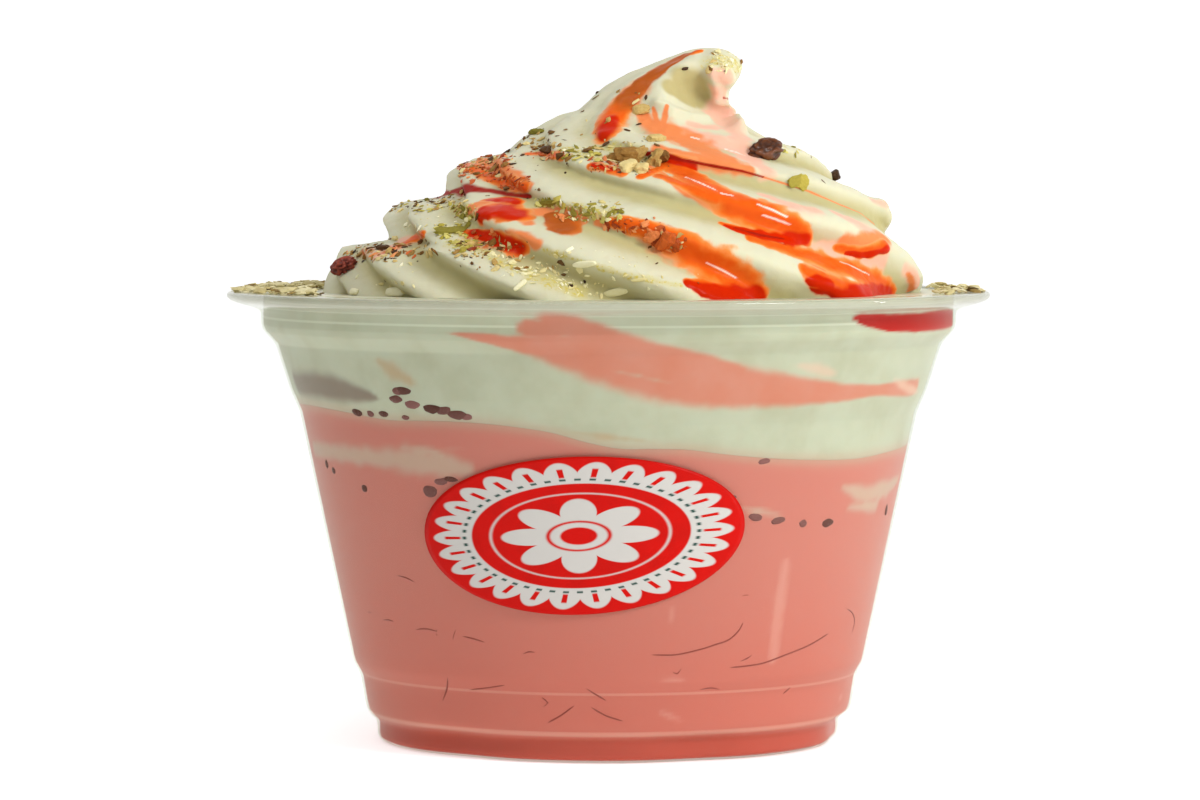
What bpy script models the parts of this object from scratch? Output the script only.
"""Falooda in a clear dessert cup.

Rose milk fills the lower two thirds, pale soft serve the top, and a fluted swirl stands above the rim.
A streak of rose syrup runs through the soft serve, a pool of it lies under the rim, and syrup runs,
chopped nuts and a raisin lie on the swirl. Lengths are in millimetres until a mesh is made.
The cup stands on z = 0 with its axis on Z. Azimuths run from the front (-Y) towards the right (+X).
"""

import math
import random

import bmesh
import bpy
import numpy as np
from mathutils import Matrix, Vector

MM = 0.001
GAP = 0.3

# The cup
RIM_DIAMETER = 117.0
CUP_HEIGHT = 69.0
WALL = 0.8
FLOOR_TOP = 2.0
FLOOR_RADIUS = 34.8
WALL_START = 5.5
PUNT_HEIGHT = 1.1
PUNT_RADIUS = 31.8
FOOT_RADIUS = 35.8
FOOT_WIDTH = 4.0
FOOT_TOP = 3.6
FOOT_DENTS = 6
FOOT_DENT_DEPTH = 0.9
CUP_SEGMENTS = 48
DRINK_SEGMENTS = 48

# The drink
CREAM_TOP = 68.3
MILK_LEVEL = 48.0
MILK_RADIUS = 46.0
MILK_TILT = 3.1
MILK_WAVE = 0.7
MILK_SIDES = 36
MILK_RINGS = 4

# The swirl: heights are above the rim
SWIRL_BASE = -0.4
SWIRL_TOP = 37.1
RIDGES = 11
RIDGE_SPACING = 10.2
RIDGE_CREST = 0.30
RIDGE_SKEW = -0.44
RIDGE_START = 20.47
RIDGE_SWAY = 2.05
RIDGE_LIFT = 4.67
RIDGE_CROWDING = 0.025
SKEW_HEIGHT = 20.0
CROWD_HEIGHT = 24.0
SIDES_PER_RIDGE = 6
SWIRL_RINGS = 25
RING_CROWDING = 0.82

# The steps between the coils, which show at the left of the swirl
STEP_HEIGHT = 6.6
STEP_SPACING = 6.7
STEP_TREAD = 0.16
STEP_FILL = 0.8
STEP_DEPTH = 6.0
STEP_FADE = 30.0
STEP_AZIMUTH = -93.0
STEP_SPREAD = 40.0
STEP_SMOOTHS_RIDGES = 0.55

# The left and right edges of the ridges' crests at each height above the rim, seen from the front
SWIRL_EDGES = (
    (-0.4, -44.0, 48.0),
    (2.0, -43.5, 48.3),
    (4.5, -42.5, 47.2),
    (8.0, -39.6, 45.4),
    (11.4, -35.0, 44.0),
    (15.0, -29.4, 39.6),
    (18.7, -23.4, 34.2),
    (22.0, -17.2, 28.6),
    (24.5, -12.2, 22.6),
    (27.0, -7.5, 19.4),
    (30.0, -3.0, 19.0),
    (33.0, 2.3, 20.4),
    (35.2, 7.6, 20.2),
    (36.6, 11.6, 18.4),
)
RIDGE_DEPTHS = ((-0.4, 3.9), (10.0, 3.7), (20.0, 3.4), (24.5, 1.8), (30.0, 0.9), (36.6, 0.4))

# The hollow in the front of the peak
HOLLOW_X = 13.6
HOLLOW_HEIGHT = 29.6
HOLLOW_WIDTH = 3.4
HOLLOW_TALL = 4.4
HOLLOW_DEPTH = 3.6

# Bands of syrup against the cup's wall: azimuth in degrees, height, half thickness
STREAK = (
    (-31, 64.3, 0.25),
    (-24, 63.4, 1.3),
    (-14, 62.2, 2.7),
    (0, 60.5, 3.9),
    (14, 58.2, 3.8),
    (27, 56.3, 3.1),
    (42, 55.0, 1.9),
    (58, 54.6, 1.0),
    (68, 54.9, 1.1),
    (78, 55.7, 1.8),
    (90, 56.3, 1.3),
    (106, 57.2, 0.3),
)
POOL = (
    (41, 66.2, 0.25),
    (52, 65.6, 0.9),
    (64, 65.0, 1.5),
    (78, 64.7, 1.6),
    (92, 64.9, 1.3),
    (104, 65.3, 0.8),
    (114, 65.8, 0.25),
)
STREAK_DEPTH = 4.0
POOL_DEPTH = 5.0

# The label on the cup's front
LABEL_AZIMUTH = -5.6
LABEL_HEIGHT = 34.4
LABEL_HALF_ANGLE = 32.2
LABEL_HALF_HEIGHT = 11.7
LABEL_TILT = 2.2
LABEL_THICKNESS = 0.35
LABEL_STRIPS = 20

# The large loose pieces on the swirl: azimuth, height above the rim, half sizes, spin, lift off the skin
LOOSE_PIECES = {
    "raisin": (54.0, 21.0, (2.9, 2.3, 1.9), 0.3, 0.7),
    "dried_petal": (-72.0, 4.4, (2.9, 1.7, 1.0), 1.3, 0.5),
}

# Syrup runs on the swirl: half width, thickness, then stations of azimuth and height above the rim
SYRUP_RUNS = (
    (1.5, 0.7, ((26, 35.0), (0, 33.4), (-17, 29.8), (-22, 25.8))),
    (2.6, 0.8, ((0, 21.0), (13, 16.9), (26, 12.8), (40, 9.0))),
    (2.0, 0.8, ((27, 8.8), (38, 6.6), (49, 4.8), (59, 3.4))),
    (2.4, 0.8, ((-4, 11.2), (6, 8.8), (16, 5.6), (25, 3.2))),
    (2.9, 0.8, ((-36, 14.6), (-28, 13.0), (-20, 11.2))),
    (1.8, 0.7, ((-40, 8.4), (-31, 7.0), (-23, 5.6))),
    (1.8, 0.7, ((64, 9.4), (76, 7.8), (88, 6.8))),
    (2.3, 0.8, ((152, 18.0), (168, 13.0), (182, 8.0), (192, 5.0))),
)
STEPS_PER_STATION = 3
# A run's cross-section: across its width, and off the skin
RUN_SECTION = ((-1.0, -1.0), (-0.55, 1.0), (0.55, 1.0), (1.0, -1.0), (0.0, -3.2))

# Chopped nuts on the swirl: count, azimuths, heights, longest half length
CRUMB_PATCHES = (
    (5, (-104, -64), (1.8, 6.0), 1.05),
    (10, (-104, -46), (6.9, 8.6), 1.1),
    (11, (-94, -40), (13.4, 15.4), 1.1),
    (8, (-80, -26), (20.1, 22.0), 1.0),
    (7, (-50, 0), (10.0, 14.0), 0.95),
    (4, (0, 20), (8.0, 11.0), 0.95),
    (7, (150, 265), (4.0, 22.0), 0.95),
)
NUT_CHUNKS = ((-11, 20.6, 2.0), (-4, 18.4, 1.8), (3, 20.2, 1.9), (68, 16.6, 1.8), (22, 35.6, 1.9))
CRUMB_SEED = 7

# Chopped nuts on the rim: azimuths, inner and outer radius, height above the rim, pieces
LEFT_HEAP = (-128, -58, 45.6, 57.9, 1.5, 19)
RIGHT_HEAP = (66, 108, 50.6, 57.6, 0.9, 8)
HEAP_SEED = 11
HEAP_STEPS = 12

# The outer wall from the foot's corner up to the under side of the rim: radius, height
OUTER_WALL = (
    (34.9, 0.0),
    (FOOT_RADIUS, 0.9),
    (FOOT_RADIUS, 3.3),
    (37.1, 4.5),
    (37.5, 6.0),
    (38.2, 10.2),
    (39.4, 12.4),
    (47.4, 50.6),
    (48.9, 54.0),
    (51.1, 61.0),
    (52.9, 62.9),
    (53.3, 63.9),
    (53.3, 66.2),
)
# The lip of the rim, from the under side round to the top
LIP = (
    (57.6, 67.5),
    (RIM_DIAMETER / 2, 68.3),
    (57.9, CUP_HEIGHT),
    (52.9, CUP_HEIGHT),
)


def clear_scene():
    for item in list(bpy.data.objects):
        bpy.data.objects.remove(item)


def make_material(name, colour, roughness, alpha=1.0):
    material = bpy.data.materials.new(name)
    material.use_nodes = True
    shader = material.node_tree.nodes["Principled BSDF"]
    shader.inputs["Base Color"].default_value = (*colour, 1.0)
    shader.inputs["Roughness"].default_value = roughness
    shader.inputs["Metallic"].default_value = 0.0
    shader.inputs["Alpha"].default_value = alpha
    return material


def object_from_bmesh(name, shape, material=None, smooth_angle=40):
    """Makes an object from a bmesh in millimetres and turns its faces out."""
    bmesh.ops.recalc_face_normals(shape, faces=shape.faces)
    bmesh.ops.scale(shape, vec=(MM, MM, MM), verts=shape.verts)
    mesh = bpy.data.meshes.new(name)
    shape.to_mesh(mesh)
    shape.free()
    mesh.shade_smooth()
    mesh.set_sharp_from_angle(angle=math.radians(smooth_angle))
    made = bpy.data.objects.new(name, mesh)
    bpy.context.scene.collection.objects.link(made)
    if material is not None:
        mesh.materials.append(material)
    return made


def bmesh_from_rings(rings):
    """A closed skin through rings of points, each ring the same length, with a fan at each end."""
    shape = bmesh.new()
    loops = [[shape.verts.new(point) for point in ring] for ring in rings]
    count = len(loops[0])
    for low, high in zip(loops, loops[1:]):
        for i in range(count):
            j = (i + 1) % count
            shape.faces.new((low[i], low[j], high[j], high[i]))
    for loop in (loops[0], loops[-1]):
        centre = shape.verts.new(sum((v.co for v in loop), Vector()) / count)
        for i in range(count):
            shape.faces.new((loop[i], loop[(i + 1) % count], centre))
    return shape


def as_cutter(item):
    item.hide_render = True
    item.display_type = "WIRE"
    return item


def add_boolean(item, other, operation):
    cut = item.modifiers.new(operation.lower(), "BOOLEAN")
    cut.operation = operation
    cut.object = other
    cut.solver = "EXACT"


def smooth_curve(keys, at):
    """Reads a smooth curve through (place, value) keys at a place."""
    places = [k[0] for k in keys]
    values = [k[1] for k in keys]
    slopes = np.gradient(values, places)
    at = min(max(at, places[0]), places[-1])
    i = min(max(int(np.searchsorted(places, at)) - 1, 0), len(places) - 2)
    span = places[i + 1] - places[i]
    t = (at - places[i]) / span
    return (
        (2 * t**3 - 3 * t**2 + 1) * values[i]
        + (t**3 - 2 * t**2 + t) * span * slopes[i]
        + (-2 * t**3 + 3 * t**2) * values[i + 1]
        + (t**3 - t**2) * span * slopes[i + 1]
    )


def point_at(azimuth, radius, height):
    """A point from an azimuth in degrees, a radius and a height."""
    turn = math.radians(azimuth)
    return Vector((radius * math.sin(turn), -radius * math.cos(turn), height))


def offset_inwards(profile, distance):
    """Moves each corner of a profile towards the axis, square to the lines that meet there."""
    moved = []
    for i, (radius, height) in enumerate(profile):
        before = Vector(profile[max(i - 1, 0)])
        after = Vector(profile[min(i + 1, len(profile) - 1)])
        here = Vector((radius, height))
        first = (here - before) if i else (after - here)
        second = (after - here) if i < len(profile) - 1 else first
        normals = [Vector((-d.y, d.x)).normalized() for d in (first, second)]
        middle = (normals[0] + normals[1]).normalized()
        moved.append(here + middle * distance / max(middle.dot(normals[0]), 0.5))
    return [(p.x, p.y) for p in moved]


def wall_radius(height, inset=0.0):
    """Radius of the cup's outer wall, less an inset, at a height."""
    heights = [p[1] for p in OUTER_WALL]
    radii = [p[0] for p in OUTER_WALL]
    return float(np.interp(height, heights, radii)) - inset


def foot_dent(azimuth):
    """How far the foot is pressed in at an azimuth in radians."""
    wave = 0.5 + 0.5 * math.cos(FOOT_DENTS * azimuth + 0.9)
    return FOOT_DENT_DEPTH * wave**3


def turned(profile, segments):
    """Spins a profile from axis to axis into a closed body, then presses the dents into the foot."""
    shape = bmesh.new()
    line = [shape.verts.new((radius, 0.0, height)) for radius, height in profile]
    edges = [shape.edges.new(pair) for pair in zip(line, line[1:])]
    bmesh.ops.spin(
        shape,
        geom=line + edges,
        cent=(0, 0, 0),
        axis=(0, 0, 1),
        angle=2 * math.pi,
        steps=segments,
    )
    bmesh.ops.remove_doubles(shape, verts=shape.verts, dist=0.001)
    for v in shape.verts:
        radius = math.hypot(v.co.x, v.co.y)
        if v.co.z < FOOT_TOP and radius > FOOT_RADIUS - FOOT_WIDTH:
            share = 1 - foot_dent(math.atan2(v.co.y, v.co.x)) / radius
            v.co.x *= share
            v.co.y *= share
    return shape


def make_cup(material):
    inside = [p for p in offset_inwards(OUTER_WALL, WALL) if p[1] > WALL_START]
    profile = [
        (0.0, PUNT_HEIGHT),
        (PUNT_RADIUS, PUNT_HEIGHT),
        (PUNT_RADIUS + 1.0, 0.0),
        *OUTER_WALL,
        *LIP,
        *reversed(inside),
        (FLOOR_RADIUS, FLOOR_TOP),
        (0.0, FLOOR_TOP),
    ]
    return object_from_bmesh("cup", turned(profile, CUP_SEGMENTS), material, 50)


def make_fill(name, material):
    """What the cup holds, from its floor to the top of the soft serve, clear of the wall."""
    side = [p for p in offset_inwards(OUTER_WALL, WALL + GAP) if p[1] > WALL_START]
    profile = [
        (0.0, FLOOR_TOP + GAP),
        (FLOOR_RADIUS - GAP, FLOOR_TOP + GAP),
        *side,
        (side[-1][0], CREAM_TOP),
        (0.0, CREAM_TOP),
    ]
    return object_from_bmesh(name, turned(profile, DRINK_SEGMENTS), material)


def milk_level(x, y):
    """Height of the rose milk's surface under the soft serve."""
    radius = math.hypot(x, y)
    turn = math.atan2(x, -y)
    share = min(radius / MILK_RADIUS, 1.0)
    wave = math.sin(2 * turn + 0.6) + 0.6 * math.sin(3 * turn - 0.8)
    return MILK_LEVEL - MILK_TILT * x / MILK_RADIUS + MILK_WAVE * share * wave


def milk_zone(name, lift):
    """A cutter that takes in everything under the milk's surface, raised by a lift."""
    azimuths = [360 * i / MILK_SIDES for i in range(MILK_SIDES)]
    loops = [[point_at(a, RIM_DIAMETER / 2, -WALL_START) for a in azimuths]]
    for ring in range(MILK_RINGS, 0, -1):
        loop = [point_at(a, RIM_DIAMETER / 2 * ring / MILK_RINGS, 0.0) for a in azimuths]
        for point in loop:
            point.z = milk_level(point.x, point.y) + lift
        loops.append(loop)
    return as_cutter(object_from_bmesh(name, bmesh_from_rings(loops)))


def wall_band(name, stations, depth, grow, steps=24):
    """A band that hugs the cup's wall through stations of azimuth, height and half thickness."""
    heights = [(s[0], s[1]) for s in stations]
    halves = [(s[0], s[2]) for s in stations]
    first, last = stations[0][0] - grow, stations[-1][0] + grow
    rings = []
    for i in range(steps + 1):
        azimuth = first + (last - first) * i / steps
        middle = smooth_curve(heights, azimuth)
        half = max(smooth_curve(halves, azimuth), 0.2) + grow
        inner = wall_radius(middle, WALL + GAP + depth) - grow
        outer = wall_radius(middle) + 8.0
        corners = ((inner, middle - half), (outer, middle - half))
        corners += ((outer, middle + half), (inner, middle + half))
        rings.append([point_at(azimuth, r, z) for r, z in corners])
    return object_from_bmesh(name, bmesh_from_rings(rings))


def make_drink(materials):
    milk = make_fill("rose_milk", materials["rose_milk"])
    add_boolean(milk, milk_zone("milk_cutter", 0.0), "INTERSECT")

    cream = make_fill("cream_layer", materials["soft_serve"])
    add_boolean(cream, milk_zone("cream_cutter", GAP), "DIFFERENCE")

    for name, stations, depth in (
        ("rose_streak", STREAK, STREAK_DEPTH),
        ("syrup_pool", POOL, POOL_DEPTH),
    ):
        room = as_cutter(wall_band(name + "_room", stations, depth, GAP))
        add_boolean(cream, room, "DIFFERENCE")
        band = make_fill(name, materials[name])
        keep = as_cutter(wall_band(name + "_shape", stations, depth, 0.0))
        add_boolean(band, keep, "INTERSECT")


def swirl_middle(height):
    """Where the swirl's axis stands, from left to right, at a height above the rim."""
    left = smooth_curve([(e[0], e[1]) for e in SWIRL_EDGES], height)
    right = smooth_curve([(e[0], e[2]) for e in SWIRL_EDGES], height)
    return (left + right) / 2, (right - left) / 2


def ridge_bend(turn, height):
    """What the leaning coil adds to a ridge's phase at an azimuth in radians."""
    rate = 2 * math.pi / RIDGE_SPACING
    skew = RIDGE_SKEW * rate * min(height, SKEW_HEIGHT) * math.sin(turn)
    sway = RIDGE_SWAY * math.sin(turn) - RIDGE_LIFT * (1 - math.cos(turn))
    crowd = RIDGE_CROWDING * rate * min(height, CROWD_HEIGHT) ** 2
    return rate * height + crowd + skew + sway - RIDGE_START


def ridge_phase(turn, height):
    return RIDGES * turn + ridge_bend(turn, height)


def turn_at_phase(phase, height):
    """The azimuth in radians where a ridge's phase has a given value."""
    turn = (phase - ridge_bend(0.0, height)) / RIDGES
    for _ in range(60):
        turn += 0.6 * (phase - ridge_phase(turn, height)) / RIDGES
    return turn


def groove(phase):
    """0 on a crest and 1 in the groove, which lies close under the crest."""
    share = (-phase / (2 * math.pi)) % 1.0
    if share < RIDGE_CREST:
        return math.sin(0.5 * math.pi * share / RIDGE_CREST) ** 2
    return math.cos(0.5 * math.pi * (share - RIDGE_CREST) / (1 - RIDGE_CREST)) ** 2


def coil_step(turn, height):
    """How near a point is to the coils' steps, and how far the skin stands back there."""
    away = (math.degrees(turn) - STEP_AZIMUTH + 180) % 360 - 180
    near = math.exp(-((away / STEP_SPREAD) ** 2))
    if height < STEP_HEIGHT:
        return near, 0.0
    share = ((height - STEP_HEIGHT) / STEP_SPACING) % 1.0
    if share < STEP_TREAD:
        back = math.sin(0.5 * math.pi * share / STEP_TREAD) ** 2
    else:
        filled = min((share - STEP_TREAD) / (STEP_FILL - STEP_TREAD), 1.0)
        back = math.cos(0.5 * math.pi * filled) ** 2
    depth = STEP_DEPTH * max(1 - (height - STEP_HEIGHT) / STEP_FADE, 0.0)
    return near, near * depth * back


def swirl_point(turn, height, phase=None):
    """A point of the swirl's skin at an azimuth in radians and a height above the rim."""
    middle, radius = swirl_middle(height)
    phase = ridge_phase(turn, height) if phase is None else phase
    near, back = coil_step(turn, height)
    ridge = smooth_curve(RIDGE_DEPTHS, height) * (1 - STEP_SMOOTHS_RIDGES * near)
    radius -= back + ridge * groove(phase)
    x = middle + radius * math.sin(turn)
    y = -radius * math.cos(turn)
    if y < 0:
        across = ((x - HOLLOW_X) / HOLLOW_WIDTH) ** 2
        along = ((height - HOLLOW_HEIGHT) / HOLLOW_TALL) ** 2
        y += min(HOLLOW_DEPTH * math.exp(-across - along), -0.8 * y)
    return Vector((x, y, CUP_HEIGHT + height))


def swirl_place(azimuth, height):
    """A point on the swirl and the direction out of it, for what lies on it."""
    turn = math.radians(azimuth)
    here = swirl_point(turn, height)
    along = swirl_point(turn + 0.03, height) - swirl_point(turn - 0.03, height)
    up = swirl_point(turn, height + 0.4) - swirl_point(turn, height - 0.4)
    return here, along.cross(up).normalized()


def make_swirl_body():
    sides = RIDGES * SIDES_PER_RIDGE
    last = SWIRL_EDGES[-1][0]
    rings = []
    for ring in range(SWIRL_RINGS):
        share = ring / (SWIRL_RINGS - 1)
        share = RING_CROWDING * share + (1 - RING_CROWDING) * share**3
        height = SWIRL_BASE + (last - SWIRL_BASE) * share
        phases = [2 * math.pi * i / SIDES_PER_RIDGE for i in range(sides)]
        rings.append([swirl_point(turn_at_phase(p, height), height, p) for p in phases])
    tip = swirl_middle(last)[0] + 0.6
    rings.append(
        [Vector((tip, 0, CUP_HEIGHT + SWIRL_TOP)).lerp(p, 0.45) for p in rings[-1]]
    )
    for point in rings[-1]:
        point.z = CUP_HEIGHT + SWIRL_TOP
    return bmesh_from_rings(rings)


def lump(place, out, half, spin, segments=5, rows=3):
    """A low blob lying on a surface: half is its half length, width and height."""
    shape = bmesh.new()
    stand = out.to_track_quat("Z", "Y").to_matrix().to_4x4()
    turn = Matrix.Rotation(spin, 4, "Z")
    matrix = Matrix.Translation(place) @ stand @ turn @ Matrix.Diagonal((*half, 1.0))
    bmesh.ops.create_uvsphere(
        shape, u_segments=segments, v_segments=rows, radius=1.0, matrix=matrix
    )
    return shape


def syrup_run(half_width, thickness, stations):
    """A run of thick syrup that hugs the swirl's skin and swells towards its foot."""
    azimuths = [(i, s[0]) for i, s in enumerate(stations)]
    heights = [(i, s[1]) for i, s in enumerate(stations)]
    steps = STEPS_PER_STATION * (len(stations) - 1)
    rings = []
    for i in range(steps + 1):
        at = i / STEPS_PER_STATION
        azimuth, height = smooth_curve(azimuths, at), smooth_curve(heights, at)
        before, after = max(at - 0.2, 0.0), min(at + 0.2, len(stations) - 1)
        radius = swirl_middle(height)[1]
        along = radius * math.radians(smooth_curve(azimuths, after) - smooth_curve(azimuths, before))
        drop = smooth_curve(heights, after) - smooth_curve(heights, before)
        swell = (0.45 + 0.55 * i / steps) * min(1.0, 0.35 + 0.9 * (steps - i) / 2)
        reach = half_width * swell / math.hypot(along, drop)
        ring = []
        for across, lift in RUN_SECTION:
            turn = azimuth - math.degrees(across * reach * drop / radius)
            here, out = swirl_place(turn, height + across * reach * along)
            ring.append(here + out * lift * thickness)
        rings.append(ring)
    return bmesh_from_rings(rings)


def make_toppings():
    """The syrup runs, crumbs and nut chunks that are stuck to the swirl."""
    made = [syrup_run(*run) for run in SYRUP_RUNS]
    chance = random.Random(CRUMB_SEED)
    for count, azimuths, heights, size in CRUMB_PATCHES:
        for _ in range(count):
            here, out = swirl_place(chance.uniform(*azimuths), chance.uniform(*heights))
            long = size * chance.uniform(0.6, 1.0)
            half = (long, long * chance.uniform(0.4, 0.8), long * 0.45)
            made.append(lump(here + out * 0.15, out, half, chance.uniform(0, math.pi)))
    for azimuth, height, size in NUT_CHUNKS:
        here, out = swirl_place(azimuth, height)
        half = (size, size * 0.7, size * 0.6)
        made.append(lump(here + out * 0.5, out, half, chance.uniform(0, math.pi), 7, 4))
    return made


def make_swirl(material):
    swirl = object_from_bmesh("soft_serve_swirl", make_swirl_body(), material)
    join_pieces(swirl, make_toppings())
    for name in LOOSE_PIECES:
        add_boolean(swirl, as_cutter(loose_piece(name, GAP, name + "_room")), "DIFFERENCE")


def join_pieces(item, shapes):
    """Fuses a list of shapes to an object by one union, and keeps the result as its mesh."""
    group = bpy.data.collections.new(item.name + "_pieces")
    bpy.context.scene.collection.children.link(group)
    for i, shape in enumerate(shapes):
        piece = object_from_bmesh(f"{item.name}_{i}", shape)
        bpy.context.scene.collection.objects.unlink(piece)
        group.objects.link(piece)
    union = item.modifiers.new("join", "BOOLEAN")
    union.operand_type = "COLLECTION"
    union.collection = group
    union.operation = "UNION"
    union.solver = "MANIFOLD"
    keep_modifiers(item)
    for piece in list(group.objects):
        bpy.data.objects.remove(piece)
    bpy.data.collections.remove(group)
    drop_scraps(item)


def keep_modifiers(item):
    """Makes the shape that an object's modifiers give its own mesh."""
    bpy.context.view_layer.update()
    graph = bpy.context.evaluated_depsgraph_get()
    shaped = bpy.data.meshes.new_from_object(item.evaluated_get(graph))
    item.modifiers.clear()
    item.data = shaped


def drop_scraps(item):
    """Keeps the largest piece of a mesh."""
    shape = bmesh.new()
    shape.from_mesh(item.data)
    left = set(shape.verts)
    islands = []
    while left:
        stack, island = [left.pop()], set()
        while stack:
            v = stack.pop()
            island.add(v)
            for edge in v.link_edges:
                other = edge.other_vert(v)
                if other in left:
                    left.discard(other)
                    stack.append(other)
        islands.append(island)
    islands.sort(key=len)
    bmesh.ops.delete(shape, geom=[v for i in islands[:-1] for v in i], context="VERTS")
    shape.to_mesh(item.data)
    shape.free()


def loose_piece(piece, grow, name, material=None):
    """A raisin or the like lying on the swirl, grown by a distance to cut the room for it."""
    azimuth, height, half, spin, lift = LOOSE_PIECES[piece]
    here, out = swirl_place(azimuth, height)
    grown = tuple(h + grow for h in half)
    return object_from_bmesh(name, lump(here + out * lift, out, grown, spin, 12, 6), material)


def make_label(material):
    """A thin oval sticker bent round the cup's front."""
    tilt = math.tan(math.radians(LABEL_TILT)) * wall_radius(LABEL_HEIGHT)
    rings = []
    for i in range(LABEL_STRIPS + 1):
        across = -math.cos(math.pi * i / LABEL_STRIPS)
        half = max(LABEL_HALF_HEIGHT * math.sqrt(1 - across * across), 0.25)
        swing = across * LABEL_HALF_ANGLE
        middle = LABEL_HEIGHT + math.radians(swing) * tilt
        corners = []
        for height, out in ((-half, 0), (half, 0), (half, 1), (-half, 1)):
            radius = wall_radius(middle + height) + GAP + out * LABEL_THICKNESS
            corners.append(point_at(LABEL_AZIMUTH + swing, radius, middle + height))
        rings.append(corners)
    return object_from_bmesh("label", bmesh_from_rings(rings), material)


def heap_edges(sizes, share):
    """Inner and outer radius of a heap at a share of its length: both ends taper."""
    inner, outer = sizes[2], sizes[3]
    middle = (inner + outer) / 2
    spread = 0.15 + 0.85 * math.sin(math.pi * share) ** 0.5
    return middle + (inner - middle) * spread, middle + (outer - middle) * spread


def make_heap(name, sizes, material, seed):
    """Chopped nuts heaped on the lip and the soft serve inside it, as one piece."""
    first, last, inner, outer, tall, pieces = sizes
    floor = CUP_HEIGHT + GAP
    rings = []
    for i in range(HEAP_STEPS + 1):
        share = i / HEAP_STEPS
        rise = 0.25 + tall * 0.35 * math.sin(math.pi * share)
        low, high = heap_edges(sizes, share)
        corners = ((low, floor), (high, floor), (high - 0.4, floor + rise * 0.6))
        corners += (((inner + outer) / 2, floor + rise), (low + 0.4, floor + rise * 0.8))
        rings.append([point_at(first + (last - first) * share, r, z) for r, z in corners])
    heap = object_from_bmesh(name, bmesh_from_rings(rings), material)

    chance = random.Random(seed)
    shapes = []
    for i in range(pieces):
        share = 0.06 + 0.88 * (i + chance.random()) / pieces
        low, high = heap_edges(sizes, share)
        radius = (low + high) / 2 + (high - low) * 0.42 * chance.uniform(-1, 1)
        long = chance.uniform(0.7, 1.15)
        half = (long, long * 0.6, min(long * 0.5, 0.5))
        place = point_at(first + (last - first) * share, radius, floor + 0.25 * tall + half[2])
        shapes.append(lump(place, Vector((0, 0, 1)), half, chance.uniform(0, math.pi)))
    join_pieces(heap, shapes)


def main():
    clear_scene()
    materials = {
        "cup": make_material("clear_plastic", (0.90, 0.93, 0.88), 0.08, 0.3),
        "rose_milk": make_material("rose_milk", (0.72, 0.26, 0.20), 0.4),
        "soft_serve": make_material("soft_serve", (0.86, 0.84, 0.66), 0.45),
        "rose_streak": make_material("rose_streak", (0.72, 0.32, 0.23), 0.4),
        "syrup_pool": make_material("rose_syrup", (0.60, 0.03, 0.01), 0.15),
        "raisin": make_material("raisin", (0.05, 0.02, 0.01), 0.35),
        "dried_petal": make_material("dried_petal", (0.16, 0.02, 0.015), 0.6),
        "label": make_material("label_print", (0.62, 0.02, 0.015), 0.3),
        "nuts": make_material("chopped_nuts", (0.60, 0.48, 0.22), 0.7),
    }
    make_cup(materials["cup"])
    make_drink(materials)
    make_swirl(materials["soft_serve"])
    for name in LOOSE_PIECES:
        loose_piece(name, 0.0, name, materials[name])
    make_label(materials["label"])
    make_heap("rim_nuts_left", LEFT_HEAP, materials["nuts"], HEAP_SEED)
    make_heap("rim_nuts_right", RIGHT_HEAP, materials["nuts"], HEAP_SEED + 1)


main()
